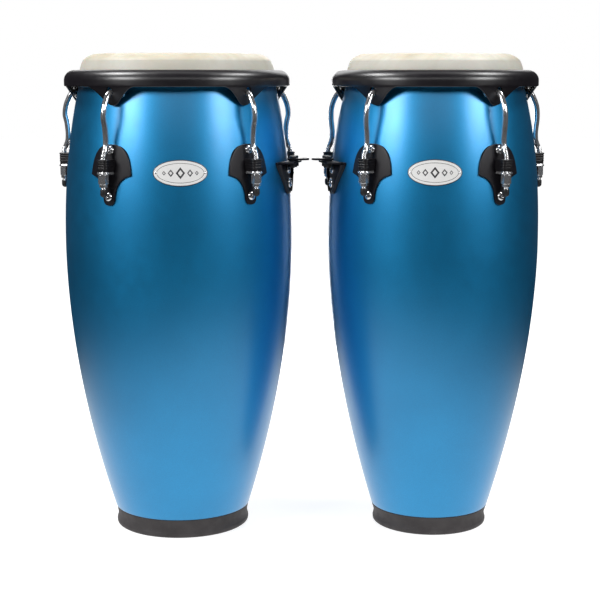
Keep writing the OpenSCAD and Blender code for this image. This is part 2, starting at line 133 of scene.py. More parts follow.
def moved(part, fn):
    return fn(part[0]), part[1], part[2]


def catmull(p, k=6, closed=False, corners=()):
    """A smooth run of points through p, straight-ended at any index in corners."""
    p = np.asarray(p, float)
    n = len(p)
    out = []
    last = n if closed else n - 1
    for i in range(last):
        b, c = p[i], p[(i + 1) % n]
        a = b + (b - c) if (i in corners or (i == 0 and not closed)) else p[i - 1]
        e = c + (c - b) if ((i + 1) % n in corners or (i + 1 == n - 1 and not closed)) else p[(i + 2) % n]
        for j in range(k):
            t = j / k
            out.append(0.5 * (2 * b + (c - a) * t + (2 * a - 5 * b + 4 * c - e) * t * t + (3 * b - 3 * c + e - a) * t ** 3))
    if not closed:
        out.append(p[-1])
    return np.array(out)


def arc(cx, cz, a, b, t0, t1, n):
    return [(cx + a * math.cos(math.radians(t0 + (t1 - t0) * i / n)), cz + b * math.sin(math.radians(t0 + (t1 - t0) * i / n))) for i in range(n + 1)]


def from_bm(bm, mat=0):
    bm.verts.ensure_lookup_table()
    v = np.array([x.co[:] for x in bm.verts])
    f = [tuple(x.index for x in face.verts) for face in bm.faces]
    bm.free()
    return v, f, [mat] * len(f)


def flat_plate(loops, t, bevel=0.4, res=2, step=(2.5, 8.0), mat=0):
    """A flat sheet with rounded edges, cut from closed outlines (the first is the outside), from w 0 to t; cut into strips so that it can be bent."""
    cu = bpy.data.curves.new("tmp", "CURVE")
    cu.dimensions, cu.fill_mode = "2D", "BOTH"
    cu.extrude, cu.bevel_depth, cu.bevel_resolution, cu.offset = t / 2 - bevel, bevel, res, -bevel
    for lp in loops:
        sp = cu.splines.new("POLY")
        sp.points.add(len(lp) - 1)
        for i, q in enumerate(lp):
            sp.points[i].co = (q[0], q[1], 0, 1)
        sp.use_cyclic_u = True
    ob = bpy.data.objects.new("tmp", cu)
    scene.collection.objects.link(ob)
    me = bpy.data.meshes.new_from_object(ob.evaluated_get(bpy.context.evaluated_depsgraph_get()))
    bpy.data.objects.remove(ob)
    bm = bmesh.new()
    bm.from_mesh(me)
    bpy.data.meshes.remove(me)
    bmesh.ops.remove_doubles(bm, verts=bm.verts[:], dist=0.01)
    allv = np.array([x.co[:] for x in bm.verts])
    for ax in (0, 1):
        if not step[ax]:
            continue
        lo, hi = allv[:, ax].min(), allv[:, ax].max()
        no = Vector((1, 0, 0)) if ax == 0 else Vector((0, 1, 0))
        for q in np.arange(math.ceil(lo / step[ax]) * step[ax] + 0.013, hi, step[ax]):
            geom = bm.verts[:] + bm.edges[:] + bm.faces[:]
            bmesh.ops.bisect_plane(bm, geom=geom, dist=0.003, plane_co=no * float(q), plane_no=no)
    v, f, m = from_bm(bm, mat)
    v[:, 2] += t / 2
    return v, f, m


def bent(d, az, base, part):
    """Bends a flat part round the shell: u across, v up, w out from base beyond the shell's surface."""
    v = part[0]
    r = shell_r(d, v[:, 1]) + base + v[:, 2]
    q = np.stack([v[:, 0], -np.sqrt(r ** 2 - v[:, 0] ** 2), v[:, 1]], 1)
    return turned(d, az, q), part[1], part[2]


def rbox(lo, hi, bevel=0.4, seg=2, mat=0):
    bm = bmesh.new()
    bmesh.ops.create_cube(bm, size=1)
    for x in bm.verts:
        x.co = [lo[i] + (x.co[i] + 0.5) * (hi[i] - lo[i]) for i in range(3)]
    bmesh.ops.bevel(bm, geom=bm.edges[:], offset=bevel, segments=seg, profile=0.5, affect="EDGES")
    return from_bm(bm, mat)


def to_mesh(name, parts, scale=0.001):
    vs, fs, ms, k = [], [], [], 0
    for v, f, m in parts:
        vs.append(v)
        fs += [tuple(i + k for i in q) for q in f]
        ms += m
        k += len(v)
    me = bpy.data.meshes.new(name)
    me.from_pydata((np.concatenate(vs) * scale).tolist(), [], fs)
    me.polygons.foreach_set("material_index", np.array(ms, np.int32))
    bm = bmesh.new()
    bm.from_mesh(me)
    bmesh.ops.remove_doubles(bm, verts=bm.verts[:], dist=2e-6 * scale / 0.001)
    bmesh.ops.dissolve_degenerate(bm, dist=1e-6 * scale / 0.001, edges=bm.edges[:])
    bmesh.ops.recalc_face_normals(bm, faces=bm.faces[:])
    bm.to_mesh(me)
    bm.free()
    return me


def cut(part, cutters):
    """part minus the cutters, by an exact boolean."""
    objs = []
    for i, p in enumerate((part, None)):
        me = to_mesh("tmp%d" % i, [part] if i == 0 else cutters, 1.0)
        o = bpy.data.objects.new("tmp%d" % i, me)
        scene.collection.objects.link(o)
        objs.append(o)
    md = objs[0].modifiers.new("b", "BOOLEAN")
    md.operation, md.solver, md.object = "DIFFERENCE", "EXACT", objs[1]
    me = bpy.data.meshes.new_from_object(objs[0].evaluated_get(bpy.context.evaluated_depsgraph_get()))
    for o in objs:
        bpy.data.objects.remove(o)
    bm = bmesh.new()
    bm.from_mesh(me)
    mats = [f.material_index for f in bm.faces]
    v, f, _ = from_bm(bm)
    return v, f, mats


def piece(name, parts, mats, body, nodes, angle=35):
    me = to_mesh(name, parts)
    for m in mats:
        me.materials.append(m)
    me.shade_smooth()
    me.set_sharp_from_angle(angle=math.radians(angle))
    o = bpy.data.objects.new(name, me)
    scene.collection.objects.link(o)
    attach(o, body)
    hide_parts(*nodes)
    return o


# ------------------------------------------------------------------ materials


class Mat:
    """A small builder for node materials, in metres of object space."""

    def __init__(self, name):
        self.m = bpy.data.materials.new(name)
        self.m.use_nodes = True
        self.t = self.m.node_tree
        self.b = self.t.nodes["Principled BSDF"]
        self.co = self.t.nodes.new("ShaderNodeTexCoord").outputs["Object"]

    def set(self, **kw):
        for k, v in kw.items():
            self.b.inputs[k.replace("_", " ")].default_value = v
        return self

    def node(self, kind, **kw):
        n = self.t.nodes.new(kind)
        for k, v in kw.items():
            setattr(n, k, v)
        return n

    def link(self, a, b):
        self.t.links.new(a, b)

    def scaled(self, sx, sy, sz, src=None):
        n = self.node("ShaderNodeMapping")
        n.inputs["Scale"].default_value = (sx, sy, sz)
        self.link(src or self.co, n.inputs["Vector"])
        return n.outputs[0]

    def noise(self, scale, detail=3, rough=0.5, src=None, dist=0.0):
        n = self.node("ShaderNodeTexNoise")
        n.inputs["Scale"].default_value = scale
        n.inputs["Detail"].default_value = detail
        n.inputs["Roughness"].default_value = rough
        n.inputs["Distortion"].default_value = dist
        self.link(src or self.co, n.inputs["Vector"])
        return n.outputs["Fac"]

    def ramp(self, fac, stops, interp="LINEAR"):
        n = self.node("ShaderNodeValToRGB")
        n.color_ramp.interpolation = interp
        e = n.color_ramp.elements
        while len(e) < len(stops):
            e.new(0.5)
        for i, (p, c) in enumerate(stops):
            e[i].position = p
            e[i].color = (*c, 1) if len(c) == 3 else c
        self.link(fac, n.inputs["Fac"])
        return n.outputs["Color"]

    def mix(self, fac, a, b, mode="MIX"):
        n = self.node("ShaderNodeMix", data_type="RGBA", blend_type=mode)
        for s, x in ((0, fac), (6, a), (7, b)):
            if isinstance(x, (int, float)):
                n.inputs[s].default_value = x
            elif isinstance(x, tuple):
                n.inputs[s].default_value = (*x, 1)
            else:
                self.link(x, n.inputs[s])
        return n.outputs[2]

    def math(self, op, a, b=None, c=None):
        n = self.node("ShaderNodeMath", operation=op)
        for s, x in enumerate((a, b, c)):
            if x is None:
                continue
            if isinstance(x, (int, float)):
                n.inputs[s].default_value = x
            else:
                self.link(x, n.inputs[s])
        return n.outputs[0]

    def remap(self, x, a, b, c, d):
        n = self.node("ShaderNodeMapRange")
        for s, q in ((1, a), (2, b), (3, c), (4, d)):
            n.inputs[s].default_value = q
        self.link(x, n.inputs[0])
        return n.outputs[0]

    def xyz(self):
        n = self.node("ShaderNodeSeparateXYZ")
        self.link(self.co, n.inputs[0])
        return n.outputs

    def around(self, d):
        """Azimuth about the drum's axis, -1..1, and radius in metres."""
        x, y, z = self.xyz()
        dx, dy = self.math("SUBTRACT", x, DX[d] / 1000), self.math("SUBTRACT", y, DY / 1000)
        az = self.math("DIVIDE", self.math("ARCTAN2", dx, self.math("MULTIPLY", dy, -1.0)), math.pi)
        r = self.math("SQRT", self.math("ADD", self.math("MULTIPLY", dx, dx), self.math("MULTIPLY", dy, dy)))
        return az, r, z

    def bump(self, height, strength=0.3, distance=0.001, after=None):
        n = self.node("ShaderNodeBump")
        n.inputs["Strength"].default_value = strength
        n.inputs["Distance"].default_value = distance
        self.link(height, n.inputs["Height"])
        if after is not None:
            self.link(after, n.inputs["Normal"])
        self.link(n.outputs[0], self.b.inputs["Normal"])
        return n.outputs[0]

    def color(self, c):
        self.link(c, self.b.inputs["Base Color"])

    def rough(self, r):
        self.link(r, self.b.inputs["Roughness"])


def lacquer():
    m = Mat("blue_lacquer").set(Metallic=0.94, Coat_Weight=1.0, Coat_Roughness=0.31, Coat_IOR=1.55)
    cloud = m.noise(9, 3, 0.5)
    flake = m.noise(1500, 1, 0.5)
    base = m.ramp(cloud, [(0.3, (0.001, 0.248, 0.530)), (0.7, (0.003, 0.278, 0.585))])
    spark = m.ramp(flake, [(0.35, (0.88, 0.90, 0.92)), (0.68, (1.12, 1.10, 1.08))])
    m.color(m.mix(1.0, base, spark, "MULTIPLY"))
    m.rough(m.remap(m.noise(60, 4, 0.6), 0.2, 0.8, 0.45, 0.51))
    peel = m.bump(m.noise(420, 2, 0.5), 0.05, 0.0004)
    m.bump(flake, 0.04, 0.0002, peel)
    return m.m


def stave_wood(d):
    m = Mat("stave_wood_" + NAMES[d]).set(Roughness=0.6)
    az, r, z = m.around(d)
    stave = m.math("MULTIPLY", m.math("ADD", az, 1.0), 12.0)
    idx = m.math("FLOOR", stave)
    frac = m.math("FRACT", stave)
    comb = m.node("ShaderNodeCombineXYZ")
    m.link(m.math("MULTIPLY", az, 38.0), comb.inputs[0])
    m.link(m.math("MULTIPLY", z, 2.2), comb.inputs[1])
    m.link(idx, comb.inputs[2])
    grain = m.noise(3.0, 6, 0.62, comb.outputs[0], 0.6)
    tint = m.node("ShaderNodeTexWhiteNoise", noise_dimensions="1D")
    m.link(idx, tint.inputs["W"])
    wood = m.ramp(grain, [(0.30, (0.30, 0.17, 0.075)), (0.55, (0.46, 0.30, 0.155)), (0.75, (0.56, 0.39, 0.22))])
    tone = m.remap(tint.outputs["Value"], 0, 1, 0.82, 1.12)
    tc = m.node("ShaderNodeCombineColor")
    for i in range(3):
        m.link(tone, tc.inputs[i])
    c = m.mix(1.0, wood, tc.outputs[0], "MULTIPLY")
    seam = m.math("MINIMUM", frac, m.math("SUBTRACT", 1.0, frac))
    line = m.remap(seam, 0.0, 0.014, 1.0, 0.0)
    m.color(m.mix(line, c, (0.10, 0.055, 0.025)))
    h = m.bump(grain, 0.25, 0.0005)
    m.bump(seam, 0.2, 0.0006, h)
    m.rough(m.remap(grain, 0.3, 0.7, 0.7, 0.52))
    return m.m


def rawhide(d):
    m = Mat("rawhide_" + NAMES[d]).set(Subsurface_Weight=0.12, Subsurface_Scale=0.002, Specular_IOR_Level=0.45)
    az, r, z = m.around(d)
    big = m.noise(11, 4, 0.55, dist=0.8)
    mid = m.noise(46, 5, 0.6, dist=0.5)
    fine = m.noise(520, 3, 0.6)
    c = m.ramp(big, [(0.28, (0.49, 0.43, 0.30)), (0.47, (0.64, 0.585, 0.46)), (0.66, (0.76, 0.725, 0.62))])
    c = m.mix(m.remap(mid, 0.42, 0.72, 0.0, 0.42), c, (0.52, 0.49, 0.40))
    c = m.mix(m.remap(fine, 0.5, 0.85, 0.0, 0.22), c, (0.48, 0.43, 0.32))
    # the collar under the playing edge is drier and greyer, and the edge itself warmer
    side = m.remap(z, 0.7070, 0.7125, 1.0, 0.0)
    c = m.mix(m.math("MULTIPLY", side, 0.55), c, (0.57, 0.57, 0.535))
    m.color(c)
    m.rough(m.remap(mid, 0.3, 0.8, 0.42, 0.60))
    # fibres and pores
    w = m.noise(160, 6, 0.68, m.scaled(1.0, 2.4, 1.0))
    b = m.bump(w, 0.22, 0.0005)
    m.bump(fine, 0.16, 0.0002, b)
    return m.m


def powder_black(name, tint=(0.018, 0.017, 0.019), rough=(0.30, 0.42), orange=700, spec=0.5):
    m = Mat(name).set(Specular_IOR_Level=spec)
    n = m.noise(30, 4, 0.6)
    m.color(m.ramp(n, [(0.3, tuple(x * 0.8 for x in tint)), (0.75, tuple(x * 1.35 for x in tint))]))
    m.rough(m.remap(m.noise(110, 3, 0.6), 0.25, 0.75, rough[0], rough[1]))
    m.bump(m.noise(orange, 2, 0.5), 0.10, 0.0003)
    return m.m


def chrome(name, rough=(0.11, 0.18), tone=0.84):
    m = Mat(name).set(Metallic=0.88, Specular_IOR_Level=0.6)
    n = m.noise(90, 4, 0.6)
    m.color(m.ramp(n, [(0.3, (tone * 0.94, tone * 0.95, tone * 0.97)), (0.7, (tone * 1.03, tone * 1.03, tone * 1.04))]))
    m.rough(m.remap(m.noise(400, 5, 0.7), 0.25, 0.75, rough[0], rough[1]))
    m.bump(m.noise(900, 2, 0.5), 0.03, 0.0001)
    return m.m


def zinc():
    m = Mat("zinc_plate").set(Metallic=1.0)
    n = m.noise(200, 4, 0.6)
    m.color(m.ramp(n, [(0.3, (0.50, 0.51, 0.53)), (0.7, (0.66, 0.67, 0.68))]))
    m.rough(m.remap(m.noise(300, 5, 0.7), 0.25, 0.75, 0.28, 0.45))
    m.bump(m.noise(700, 3, 0.5), 0.08, 0.0002)
    return m.m


def rubber(name, tint=(0.040, 0.036, 0.037), rough=(0.55, 0.75)):
    m = Mat(name).set(Specular_IOR_Level=0.35)
    n = m.noise(24, 5, 0.62)
    c = m.ramp(n, [(0.3, tuple(x * 0.75 for x in tint)), (0.72, tuple(x * 1.5 for x in tint))])
    m.color(m.mix(m.remap(m.noise(800, 2, 0.5), 0.62, 0.8, 0.0, 0.35), c, (0.16, 0.15, 0.145)))
    m.rough(m.remap(m.noise(90, 4, 0.6), 0.25, 0.75, rough[0], rough[1]))
    m.bump(m.noise(650, 3, 0.6), 0.18, 0.0003)
    return m.m


def badge_white():
    m = Mat("badge_field").set(Metallic=0.0, Coat_Weight=0.4, Coat_Roughness=0.2)
    n = m.noise(260, 4, 0.6, m.scaled(0.25, 1.0, 3.0))
    m.color(m.ramp(n, [(0.3, (0.91, 0.905, 0.89)), (0.7, (0.965, 0.96, 0.945))]))
    m.rough(m.remap(n, 0.25, 0.75, 0.26, 0.36))
    m.bump(n, 0.05, 0.0001)
    return m.m


M_LACQUER = lacquer()
M_WOOD = [stave_wood(0), stave_wood(1)]
M_HIDE = [rawhide(0), rawhide(1)]
M_RIM = powder_black("rim_powder_coat", (0.0065, 0.0052, 0.0075), (0.29, 0.36), 800, 0.8)
M_PLATE = powder_black("plate_powder_coat", (0.0085, 0.0075, 0.0105), (0.29, 0.40), 600, 0.3)
M_LUG = powder_black("lug_black", (0.0065, 0.006, 0.0075), (0.28, 0.40), 500, 0.45)
M_BOLT = powder_black("black_oxide", (0.022, 0.022, 0.024), (0.34, 0.48), 900)
M_CHROME = chrome("hook_chrome")
M_NUT = chrome("nut_chrome", (0.15, 0.24), 0.80)
M_SCREW = chrome("screw_chrome", (0.12, 0.20), 0.86)
M_WASHER = chrome("washer_chrome", (0.16, 0.26), 0.80)
M_ZINC = zinc()
M_FOOT = rubber("foot_rubber")
M_CAP = rubber("cap_rubber", (0.018, 0.018, 0.019), (0.38, 0.52))
M_BADGE = badge_white()
M_BADGE_EDGE = powder_black("badge_dark_line", (0.05, 0.05, 0.055), (0.25, 0.35), 900)

# ------------------------------------------------------------------ the pieces


def smooth_profile(p, k=5, corners=()):
    return [tuple(q) for q in catmull(p, k, False, corners)]


def build_shell(d):
    n = NAMES[d]
    rt = EDGE_R[d]
    g = float(shell_r(d, 28))
    out = [(g - WALL, 4.4), (g - WALL + 0.5, 4.0), (g - 7.3, 4.0), (g - 6.8, 4.5), (g - 6.8, 28.0), (g - 0.7, 28.0), (g - 0.15, 28.4)]
    out += [(float(shell_r(d, z)) - 0.1, float(z)) for z in np.arange(29.5, 679, 6.0)]
    out += smooth_profile([(NECK_R[d] + a, z) for a, z in NECK[d]] + [(rt + a, z) for a, z in BEARING], 3)
    inn = [(rt - 17, 691.0), (rt - 16.7, 690.0), (float(shell_r(d, 677)) - WALL - 0.3, 677.6), (float(shell_r(d, 677)) - WALL, 676.6)]
    inn += [(float(shell_r(d, z)) - WALL, float(z)) for z in np.arange(670, 30, -8.0)] + [(g - WALL, 28.0)]
    prof = out + inn
    k_out = len(out) - 6
    mats = [0 if 4 <= i < k_out else 1 for i in range(len(prof))]
    part = lathe(prof, 288, True, mats)
    piece(n + "_stave_shell", [moved(part, lambda v: turned(d, 0, v))], [M_LACQUER, M_WOOD[d]], n + "_drum", [n + "_shell"], 30)


def build_foot(d):
    n = NAMES[d]
    f, g = float(shell_r(d, 30)), float(shell_r(d, 28))
    o = ((-1.5, -3.3, -1.6), (-1.1, -4.3, -2.8))[d]
    outer = catmull([(f + o[0] - 0.5, 27.6), (f + o[0], 26.6), (f + (o[0] + o[1]) / 2, 21.5), (f + o[1], 15.5), (f + (o[1] + o[2]) / 2 - 0.2, 9.6),
                     (f + o[2] - 0.15, 6.8), (f + o[2], 4.6), (f + o[2] - 0.5, 1.6), (f + o[2] - 2.2, 0.0)], 5)
    prof = [(g - 6.7, 27.0), (g - 6.2, 27.6)] + [tuple(q) for q in outer] + [(g - 15.5, 0), (g - 16.3, 0.4), (g - 16.5, 1.4), (g - 16.5, 13.4), (g - 16.1, 14.6), (g - 15.2, 15),
            (g - WALL - 0.6, 15), (g - WALL - 0.1, 14.5), (g - WALL - 0.1, 3.9), (g - 6.7, 3.9)]
    piece(n + "_foot_ring", [moved(lathe(prof, 224), lambda v: turned(d, 0, v))], [M_FOOT], n + "_drum", [n + "_foot"], 30)


def build_head(d):
    n = NAMES[d]
    rt, T = EDGE_R[d], TOP_Z
    c, z0 = HOOP_C[d], HOOP_Z
    flat = [(r, T) for r in np.linspace(0.02, rt - 24, 26)]
    outer = [(rt - 19, T), (rt - 15.5, T - 0.4), (rt - 12, T - 1.4), (rt - 8.2, T - 3.3), (rt - 4.2, T - 5.5), (rt - 1.2, T - 7.8), (rt + 0.9, T - 10)]
    outer += [(NECK_R[d] + a + SKIN, z) for a, z in NECK[d][::-1]]
    edge = smooth_profile(outer, 3)
    a0 = 148
    wrap = [(c + WRAP_R * math.cos(math.radians(a)), z0 + WRAP_R * math.sin(math.radians(a))) for a in np.arange(a0, -150, -15)]
    inner = [(float(shell_r(d, 673.6)) + 0.35, 673.8), (float(shell_r(d, 676)) + 0.1, 676)]
    inner += smooth_profile([(NECK_R[d] + a + 0.1, z) for a, z in NECK[d]] + [(rt + a + 0.05, z + 0.15) for a, z in BEARING[:6]], 2) + [(rt - 18.5, 717.2), (0.02, 717.2)]
    prof = flat + edge + wrap + inner
    v, f, m = lathe(prof, 256, True)
    # the hide is never quite even: small hollows on top, faint folds down the collar
    rng = np.random.default_rng(11 + d)
    th, r = np.arctan2(v[:, 1], v[:, 0]), np.hypot(v[:, 0], v[:, 1])
    wav = sum(a * np.sin(k * th + p) for k, a, p in zip((3, 5, 9, 14, 23, 31), (0.10, 0.08, 0.07, 0.06, 0.05, 0.04), rng.uniform(0, 6.28, 6)))
    skin_out = np.interp(v[:, 2], [z for _, z in NECK[d]], [NECK_R[d] + a for a, _ in NECK[d]]) + 1.0
    on_collar = (v[:, 2] > 682.5) & (v[:, 2] < 712) & (r > skin_out - np.clip(v[:, 2] - 707, 0, 9) * 0.8)
    grow = np.where(on_collar, np.clip((712 - v[:, 2]) / 14, 0, 1), 0) * (wav + 0.25) * 0.8
    v[:, 0] += grow * np.cos(th)
    v[:, 1] += grow * np.sin(th)
    top = (v[:, 2] > T - 0.5) & (r < rt - 12)
    v[:, 2] -= np.where(top, 0.10 + 0.08 * np.sin(v[:, 0] / 19 + d) * np.cos(v[:, 1] / 23), 0)
    piece(n + "_rawhide_head", [(turned(d, 0, v), f, m)], [M_HIDE[d]], n + "_drum", [n + "_head"], 40)


def build_rim(d):
    n = NAMES[d]
    R, ri = RIM_R[d], HOOP_C[d] - 3.2
    cr, kz, t, slope = ri + 4, 680.0, RIM_T, 0.385
    N = 1080
    th = np.arange(N) * 2 * math.pi / N  # azimuth
    tab = np.array([[0, 644.8], [3.0, 645.0], [5.2, 645.6], [7.4, 646.6], [9.5, 648.2], [13, 651.6], [18, 656.6], [24, 662.4], [28, 665.8], [31, 668.0], [34.5, 670.0], [38, 671.2], [42, 671.5]])
    zb = np.full(N, SKIRT_Z)
    for a in LUGS:
        dth = (th - math.radians(a) + math.pi) % (2 * math.pi) - math.pi
        u = np.abs(np.sin(dth)) * (R - 5)
        near = np.abs(dth) < 0.5
        zb = np.where(near, np.minimum(zb, np.interp(u, tab[:, 0], tab[:, 1])), zb)
    kern = np.exp(-0.5 * (np.arange(-4, 5) / 1.5) ** 2)
    kern /= kern.sum()
    zb = np.real(np.fft.ifft(np.fft.fft(zb) * np.fft.fft(np.roll(np.pad(kern, (0, N - 9)), -4))))
    zb = np.maximum(zb, 644.8)

    def r_out(z):
        x = SKIRT_Z + 0.6 - z
        return R - slope * np.where(x < -2, 0, np.where(x > 2, x, (x + 2) ** 2 / 8))

    rows = []
    const = lambda r, z: rows.append((np.full(N, float(r)), np.full(N, float(z))))
    for r, z in [(ri + 0.5, 682.4), (ri + 0.15, 682.55), (ri, 682.9)]:
        const(r, z)
    for r, z in arc(cr, 688.6, 4, CREST_Z - 688.6, 180, 90, 7):
        const(r, z)
    for r, z in arc(cr, kz, R - cr, CREST_Z - kz, 86, 0, 16):
        const(r, z)
    for s in np.linspace(0, 1, 13)[1:]:
        z = 678 + (zb + t / 2 - 678) * s
        rows.append((r_out(z), z))
    for a in np.arange(-20, -180, -20):
        ca, sa = math.cos(math.radians(a)), math.sin(math.radians(a))
        z0 = zb + t / 2
        rows.append((r_out(z0) - t / 2 + t / 2 * ca, z0 + t / 2 * sa))
    for s in np.linspace(0, 1, 13)[:-1]:
        z = (zb + t / 2) + (678 - zb - t / 2) * s
        rows.append((r_out(z) - t, z))
    for r, z in arc(cr, kz, R - cr - t, CREST_Z - kz - t, 0, 86, 12):
        const(r, z)
    for r, z in [(cr, CREST_Z - t), (ri + t + 0.4, 691.2), (ri + t, 689.6), (ri + t, 682.9), (ri + t - 0.15, 682.55), (ri + t - 0.5, 682.4)]:
        const(r, z)
    loops = [np.stack([r * np.sin(th), -r * np.cos(th), z], 1) for r, z in rows]
    part = loft(loops, True)
    cutters = []
    for a in LUGS:
        pts = [(5 * math.cos(math.radians(q)), 666 + 5 * math.sin(math.radians(q))) for q in np.arange(0, 181, 15)]
        pts += [(5 * math.cos(math.radians(q)), 663.4 + 5 * math.sin(math.radians(q))) for q in np.arange(180, 361, 15)]
        lo = [np.array([(x, -(R - 24), z) for x, z in pts]), np.array([(x, -(R + 6), z) for x, z in pts])]
        v, f, m = loft(lo, False, True)
        c, s = math.cos(math.radians(a)), math.sin(math.radians(a))
        cutters.append((np.stack([v[:, 0] * c - v[:, 1] * s, v[:, 0] * s + v[:, 1] * c, v[:, 2]], 1), f, m))
    part = cut(part, cutters)
    piece(n + "_rolled_rim", [moved(part, lambda v: turned(d, 0, v))], [M_RIM], n + "_rim_and_hooks", [n + "_rim"], 38)


BEND_TOP = [(-13.4, 663.2), (-8.6, 663.4), (-4.2, 663.2), (-0.4, 661.3), (3.0, 657.4), (6.0, 651.8), (9.0, 645), (11.2, 636.5), (11.8, 627)]
BEND_LOW = [(-5.2, 617), (-6.5, 607), (-7.0, 598), (-6.2, 589), (-3.6, 581.8), (-1.3, 577.4), (-0.2, 574.2), (0, 571.5), (0, 568.5)]


def hook_local(d):
    """One tension hook at the drum's front, in local mm."""
    top = [(RIM_R[d] + a, b) for a, b in BEND_TOP] + [(ROD_C[d] + a, b) for a, b in BEND_LOW]
    path = catmull(top, 5)
    path = np.concatenate([path, [[ROD_C[d], z] for z in np.arange(567, 519.6, -3.0)], [[ROD_C[d], 519.5]]])
    # even, finer stations; the thread needs several rings to a turn
    seg = np.r_[0, np.cumsum(np.hypot(*np.diff(path, axis=0).T))]
    total = seg[-1]
    s_z = lambda z: seg[np.argmin(np.abs(path[:, 1] - z) + (path[:, 0] < ROD_C[d] - 8) * 99)]
    s_thread = s_z(580.0)
    pitch, k = 25.4 / 18, 6
    st = np.concatenate([np.linspace(0, s_thread, 70)[:-1], np.arange(s_thread, total - 0.8, pitch / k), [total - 0.5, total]])
    pr, pz = np.interp(st, seg, path[:, 0]), np.interp(st, seg, path[:, 1])
    dr, dz = np.gradient(pr, st), np.gradient(pz, st)
    ln = np.hypot(dr, dz)
    dr, dz = dr / ln, dz / ln
    nn = 20
    th = np.arange(nn) * 2 * math.pi / nn
    loops = []
    for i, s in enumerate(st):
        rad = np.full(nn, 3.97 if s > s_thread else 4.02)
        if s > s_thread:
            ph = ((s - s_thread) / pitch - th / (2 * math.pi)) % 1.0
            depth = 0.62 * np.clip(1 - np.abs(ph - 0.5) * 2.6, 0, 1)
            fade = min(1.0, (s - s_thread) / 1.5) * min(1.0, max(0.0, (total - s) / 1.0))
            rad = rad - depth * fade
        if s < 0.9:
            rad = rad - 0.9 + math.sqrt(max(0.0, 0.81 - (0.9 - s) ** 2))
        if s > total - 0.6:
            rad = rad - 0.4
        u, w = rad * np.cos(th), rad * np.sin(th)
        loops.append(np.stack([u, -(pr[i] + w * dz[i]), pz[i] - w * dr[i]], 1))
    return loft(loops, False, True)


def build_hooks(d):
    n = NAMES[d]
    h = hook_local(d)
    body = n + "_rim_and_hooks"
    piece(n + "_hook_rods", [moved(h, lambda v, a=a: turned(d, a, v)) for a in LUGS], [M_CHROME], body, [n + "_tension_hooks"], 50)
    rc = ROD_C[d]
    prof = [(0.03, 517.0)] + [(5 * math.sin(math.radians(a)), 522 - 5 * math.cos(math.radians(a))) for a in range(15, 91, 15)]
    prof += [(5.0, 524.5), (5.0, 527.2), (4.85, 527.7), (4.5, 528.0), (4.1, 528.0), (4.0, 527.6), (4.0, 519.4), (0.03, 519.4)]
    cap = lathe(prof, 40)
    cap = (cap[0] + np.array([0, -rc, 0]), cap[1], cap[2])
    piece(n + "_rod_caps", [moved(cap, lambda v, a=a: turned(d, a, v)) for a in LUGS], [M_CAP], body, [n + "_hook_caps"], 40)


def nut_local(d):
    nn = 96
    th = np.arange(nn) * 2 * math.pi / nn
    fl = 6.35
    hexr = fl / np.cos((th + math.pi / 6) % (math.pi / 3) - math.pi / 6)
    loops = []

    def ring(r, z, follow=False):
        rr = np.minimum(hexr, r) if follow else np.full(nn, float(r))
        loops.append(np.stack([rr * np.cos(th), rr * np.sin(th) - ROD_C[d], np.full(nn, z)], 1))

    for r, z in ((4.35, 531.5), (5.4, 531.5), (5.7, 531.7), (5.8, 532.1), (5.8, 535.1), (5.95, 535.5)):
        ring(r, z)
    for r, z in ((6.30, 535.5), (6.55, 535.65), (6.9, 535.95), (7.2, 536.35), (7.5, 537.0), (7.5, 547.8), (7.2, 548.5), (6.9, 548.95), (6.55, 549.25), (6.30, 549.4)):
        ring(r, z, True)
    ring(4.5, 549.4)
    ring(4.03, 548.9)
    ring(4.03, 532.0)
    return loft(loops, True)


def build_nuts(d):
    n = NAMES[d]
    nut = nut_local(d)
    for k, a in enumerate(LUGS, 1):
        piece("%s_hex_nut_%d" % (n, k), [moved(nut, lambda v: turned(d, a, v))], [M_NUT], "%s_nut_body_%d" % (n, k), ["%s_nut_%d" % (n, k)], 28)


def rounded(half, out, inw, r, g=0.0):
    """Plan round the rod: flat sides, round outer corners (-y is out), square at the back; g grows it but not at the back."""
    half, out, r = half + g, out + g, r + g
    pts = [(r - half + r * math.cos(math.radians(t)), r - out + r * math.sin(math.radians(t))) for t in range(180, 271, 10)]
    pts += [(q * (half - r) / 4, -out) for q in (-2, 0, 2)]
    pts += [(half - r + r * math.cos(math.radians(t)), r - out + r * math.sin(math.radians(t))) for t in range(270, 361, 10)]
    side = [(half, r - out + (inw - r + out) * q / 5) for q in range(1, 6)]
    back = [(half * q / 4, inw) for q in (3, 2, 1, 0, -1, -2, -3)]
    pts += side + back + [(-x, y) for x, y in side[::-1]]
    return np.array(pts)


def holed_block(d, plan, levels, bore):
    """A block of one plan with a vertical hole for the rod; levels are (z, growth)."""
    base = rounded(*plan)
    ang = np.arctan2(base[:, 1], base[:, 0])
    loops = []
    for z, g in levels:
        q = rounded(*plan, g)
        loops.append(np.column_stack([q[:, 0], q[:, 1] - ROD_C[d], np.full(len(q), z)]))
    zt, zb = levels[-1][0], levels[0][0]
    for r, z in ((bore + 0.35, zt), (bore, zt - 0.35), (bore, zb + 0.35), (bore + 0.35, zb)):
        loops.append(np.column_stack([r * np.cos(ang), r * np.sin(ang) - ROD_C[d], np.full(len(ang), z)]))
    return loft(loops, True)


